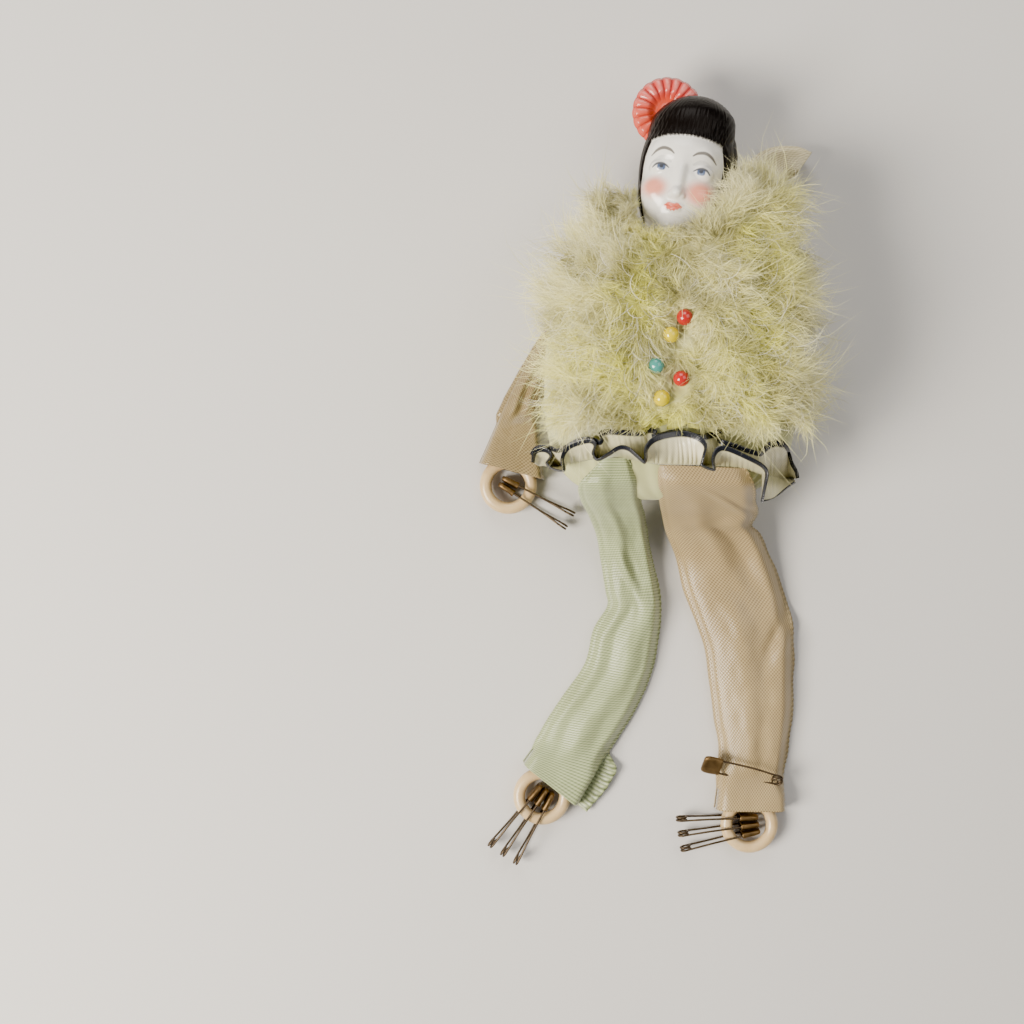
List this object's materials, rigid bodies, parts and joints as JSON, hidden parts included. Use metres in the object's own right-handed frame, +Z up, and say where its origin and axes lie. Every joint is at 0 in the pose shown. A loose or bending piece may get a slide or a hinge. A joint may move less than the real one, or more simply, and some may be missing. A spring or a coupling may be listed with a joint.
{
  "type": "half-doll pincushion",
  "caption": "Half-doll pincushion lying on its back: porcelain head on a silk cushion with feather trim, ruffle, ribbon limbs, ivory rings, safety pins and glass-headed pins.",
  "frame": {"origin": "middle of the underside, on the surface that the doll lies on", "axes": "+Y from feet to head, +Z up out of the doll's front, +X to the right of someone looking at its front"},
  "size_m": [0.1102, 0.252, 0.0531],
  "materials": {
    "porcelain": "clear glaze over painted hair, comb and face",
    "silk": "soft silk",
    "stuffing": "loose fibre",
    "satin": "satin ribbon with dark edges",
    "marabou": "down feather trim",
    "grosgrain": "ribbed ribbon",
    "taffeta": "twilled taffeta ribbon",
    "cream_satin": "satin ribbon",
    "ivory": "polished bone colour",
    "pin_brass": "dark tarnish",
    "pin_wire": "dark tarnish",
    "pin_steel": "bright",
    "glass_red": "polished",
    "glass_yellow": "polished",
    "glass_teal": "polished"
  },
  "bodies": {
    "doll": {"half_doll": "porcelain", "cushion_cover": "silk", "cushion_filling": "stuffing", "ruffle": "satin", "feather_collar": "marabou", "feather_front_left": "marabou", "feather_front_right": "marabou"},
    "leg_left": {"leg_left": "grosgrain"},
    "leg_right": {"leg_right": "taffeta", "leg_pin_wire": "pin_wire", "leg_pin_cap": "pin_brass", "leg_pin_arm": "pin_wire"},
    "arm_left": {"arm_left": "taffeta"},
    "arm_right": {"arm_right": "cream_satin"},
    "ring_leg_left": {"ring_leg_left": "ivory"},
    "ring_leg_right": {"ring_leg_right": "ivory"},
    "ring_arm_left": {"ring_arm_left": "ivory"},
    "ring_arm_left_pin_1": {"ring_arm_left_pin_1_wire": "pin_wire", "ring_arm_left_pin_1_cap": "pin_brass"},
    "ring_arm_left_pin_1_arm": {"ring_arm_left_pin_1_arm": "pin_wire"},
    "ring_arm_left_pin_2": {"ring_arm_left_pin_2_wire": "pin_wire", "ring_arm_left_pin_2_cap": "pin_brass"},
    "ring_arm_left_pin_2_arm": {"ring_arm_left_pin_2_arm": "pin_wire"},
    "ring_leg_left_pin_1": {"ring_leg_left_pin_1_wire": "pin_wire", "ring_leg_left_pin_1_cap": "pin_brass"},
    "ring_leg_left_pin_1_arm": {"ring_leg_left_pin_1_arm": "pin_wire"},
    "ring_leg_left_pin_2": {"ring_leg_left_pin_2_wire": "pin_wire", "ring_leg_left_pin_2_cap": "pin_brass"},
    "ring_leg_left_pin_2_arm": {"ring_leg_left_pin_2_arm": "pin_wire"},
    "ring_leg_left_pin_3": {"ring_leg_left_pin_3_wire": "pin_wire", "ring_leg_left_pin_3_cap": "pin_brass"},
    "ring_leg_left_pin_3_arm": {"ring_leg_left_pin_3_arm": "pin_wire"},
    "ring_leg_right_pin_1": {"ring_leg_right_pin_1_wire": "pin_wire", "ring_leg_right_pin_1_cap": "pin_brass"},
    "ring_leg_right_pin_1_arm": {"ring_leg_right_pin_1_arm": "pin_wire"},
    "ring_leg_right_pin_2": {"ring_leg_right_pin_2_wire": "pin_wire", "ring_leg_right_pin_2_cap": "pin_brass"},
    "ring_leg_right_pin_2_arm": {"ring_leg_right_pin_2_arm": "pin_wire"},
    "ring_leg_right_pin_3": {"ring_leg_right_pin_3_wire": "pin_wire", "ring_leg_right_pin_3_cap": "pin_brass"},
    "ring_leg_right_pin_3_arm": {"ring_leg_right_pin_3_arm": "pin_wire"},
    "pin_red_upper": {"pin_red_upper_head": "glass_red", "pin_red_upper_shaft": "pin_steel"},
    "pin_yellow_upper": {"pin_yellow_upper_head": "glass_yellow", "pin_yellow_upper_shaft": "pin_steel"},
    "pin_teal": {"pin_teal_head": "glass_teal", "pin_teal_shaft": "pin_steel"},
    "pin_red_lower": {"pin_red_lower_head": "glass_red", "pin_red_lower_shaft": "pin_steel"},
    "pin_yellow_lower": {"pin_yellow_lower_head": "glass_yellow", "pin_yellow_lower_shaft": "pin_steel"}
  },
  "joints": [
    {"name": "leg_left_lift", "type": "hinge", "parent": "doll", "child": "leg_left", "pos_m": [0.00607, -0.00568, 0.033], "axis": [-1, 0, 0], "range_deg": [0, 80]},
    {"name": "leg_right_lift", "type": "hinge", "parent": "doll", "child": "leg_right", "pos_m": [0.00607, -0.00568, 0.033], "axis": [-1, 0, 0], "range_deg": [0, 80]},
    {"name": "arm_left_swing", "type": "hinge", "parent": "doll", "child": "arm_left", "pos_m": [-0.02693, 0.05311, 0], "axis": [0, 0, -1], "range_deg": [0, 80]},
    {"name": "arm_right_swing", "type": "hinge", "parent": "doll", "child": "arm_right", "pos_m": [0.03907, 0.06211, 0], "axis": [0, 0, -1], "range_deg": [0, 60]},
    {"name": "ring_leg_left_tip", "type": "hinge", "parent": "leg_left", "child": "ring_leg_left", "pos_m": [-0.02971, -0.09717, 0.004], "axis": [-0.788, 0.6157, 0], "range_deg": [0, 22]},
    {"name": "ring_leg_right_tip", "type": "hinge", "parent": "leg_right", "child": "ring_leg_right", "pos_m": [0.03417, -0.10488, 0.004], "axis": [-1, 0, 0], "range_deg": [0, 14]},
    {"name": "ring_arm_left_tip", "type": "hinge", "parent": "arm_left", "child": "ring_arm_left", "pos_m": [-0.04348, 0.00686, 0.004], "axis": [-0.9659, 0.2588, 0], "range_deg": [0, 22]},
    {"name": "ring_arm_left_pin_1_swing", "type": "hinge", "parent": "ring_arm_left", "child": "ring_arm_left_pin_1", "pos_m": [-0.03979, -0.0056, 0.004], "axis": [-0.5446, -0.8387, 0], "range_deg": [0, 40]},
    {"name": "ring_arm_left_pin_1_open", "type": "hinge", "parent": "ring_arm_left_pin_1", "child": "ring_arm_left_pin_1_arm", "pos_m": [-0.02763, -0.0135, 0.004], "axis": [0.5446, 0.8387, 0], "range_deg": [0, 30], "stiffness_Nm_per_rad": 0.01},
    {"name": "ring_arm_left_pin_2_swing", "type": "hinge", "parent": "ring_arm_left", "child": "ring_arm_left_pin_2", "pos_m": [-0.03809, -0.00266, 0.004], "axis": [-0.454, -0.891, 0], "range_deg": [0, 40]},
    {"name": "ring_arm_left_pin_2_open", "type": "hinge", "parent": "ring_arm_left_pin_2", "child": "ring_arm_left_pin_2_arm", "pos_m": [-0.02517, -0.00924, 0.004], "axis": [0.454, 0.891, 0], "range_deg": [0, 30], "stiffness_Nm_per_rad": 0.01},
    {"name": "ring_leg_left_pin_1_swing", "type": "hinge", "parent": "ring_leg_left", "child": "ring_leg_left_pin_1", "pos_m": [-0.04131, -0.10736, 0.004], "axis": [-0.766, 0.6428, 0], "range_deg": [0, 30]},
    {"name": "ring_leg_left_pin_1_open", "type": "hinge", "parent": "ring_leg_left_pin_1", "child": "ring_leg_left_pin_1_arm", "pos_m": [-0.05063, -0.11847, 0.004], "axis": [0.766, -0.6428, 0], "range_deg": [0, 30], "stiffness_Nm_per_rad": 0.01},
    {"name": "ring_leg_left_pin_2_swing", "type": "hinge", "parent": "ring_leg_left", "child": "ring_leg_left_pin_2", "pos_m": [-0.03852, -0.1093, 0.004], "axis": [-0.829, 0.5592, 0], "range_deg": [0, 40]},
    {"name": "ring_leg_left_pin_2_open", "type": "hinge", "parent": "ring_leg_left_pin_2", "child": "ring_leg_left_pin_2_arm", "pos_m": [-0.04663, -0.12132, 0.004], "axis": [0.829, -0.5592, 0], "range_deg": [0, 30], "stiffness_Nm_per_rad": 0.01},
    {"name": "ring_leg_left_pin_3_swing", "type": "hinge", "parent": "ring_leg_left", "child": "ring_leg_left_pin_3", "pos_m": [-0.03568, -0.11116, 0.004], "axis": [-0.8829, 0.4695, 0], "range_deg": [0, 30]},
    {"name": "ring_leg_left_pin_3_open", "type": "hinge", "parent": "ring_leg_left_pin_3", "child": "ring_leg_left_pin_3_arm", "pos_m": [-0.04249, -0.12397, 0.004], "axis": [0.8829, -0.4695, 0], "range_deg": [0, 30], "stiffness_Nm_per_rad": 0.01},
    {"name": "ring_leg_right_pin_1_swing", "type": "hinge", "parent": "ring_leg_right", "child": "ring_leg_right_pin_1", "pos_m": [0.02632, -0.11005, 0.004], "axis": [-0.0349, 0.9994, 0], "range_deg": [0, 30]},
    {"name": "ring_leg_right_pin_1_open", "type": "hinge", "parent": "ring_leg_right_pin_1", "child": "ring_leg_right_pin_1_arm", "pos_m": [0.01183, -0.11056, 0.004], "axis": [0.0349, -0.9994, 0], "range_deg": [0, 30], "stiffness_Nm_per_rad": 0.01},
    {"name": "ring_leg_right_pin_2_swing", "type": "hinge", "parent": "ring_leg_right", "child": "ring_leg_right_pin_2", "pos_m": [0.02675, -0.11342, 0.004], "axis": [-0.1392, 0.9903, 0], "range_deg": [0, 40]},
    {"name": "ring_leg_right_pin_2_open", "type": "hinge", "parent": "ring_leg_right_pin_2", "child": "ring_leg_right_pin_2_arm", "pos_m": [0.01239, -0.11544, 0.004], "axis": [0.1392, -0.9903, 0], "range_deg": [0, 30], "stiffness_Nm_per_rad": 0.01},
    {"name": "ring_leg_right_pin_3_swing", "type": "hinge", "parent": "ring_leg_right", "child": "ring_leg_right_pin_3", "pos_m": [0.02726, -0.11678, 0.004], "axis": [-0.2419, 0.9703, 0], "range_deg": [0, 30]},
    {"name": "ring_leg_right_pin_3_open", "type": "hinge", "parent": "ring_leg_right_pin_3", "child": "ring_leg_right_pin_3_arm", "pos_m": [0.01319, -0.12029, 0.004], "axis": [0.2419, -0.9703, 0], "range_deg": [0, 30], "stiffness_Nm_per_rad": 0.01},
    {"name": "pin_red_upper_pull", "type": "slide", "parent": "doll", "child": "pin_red_upper", "axis": [0.099, 0.099, 0.9901], "range_m": [0, 0.022]},
    {"name": "pin_yellow_upper_pull", "type": "slide", "parent": "doll", "child": "pin_yellow_upper", "axis": [-0.0591, 0.1577, 0.9857], "range_m": [0, 0.022]},
    {"name": "pin_teal_pull", "type": "slide", "parent": "doll", "child": "pin_teal", "axis": [-0.0994, 0.0398, 0.9942], "range_m": [0, 0.022]},
    {"name": "pin_red_lower_pull", "type": "slide", "parent": "doll", "child": "pin_red_lower", "axis": [0.0796, -0.0597, 0.995], "range_m": [0, 0.022]},
    {"name": "pin_yellow_lower_pull", "type": "slide", "parent": "doll", "child": "pin_yellow_lower", "axis": [-0.0396, -0.1385, 0.9896], "range_m": [0, 0.022]}
  ]
}
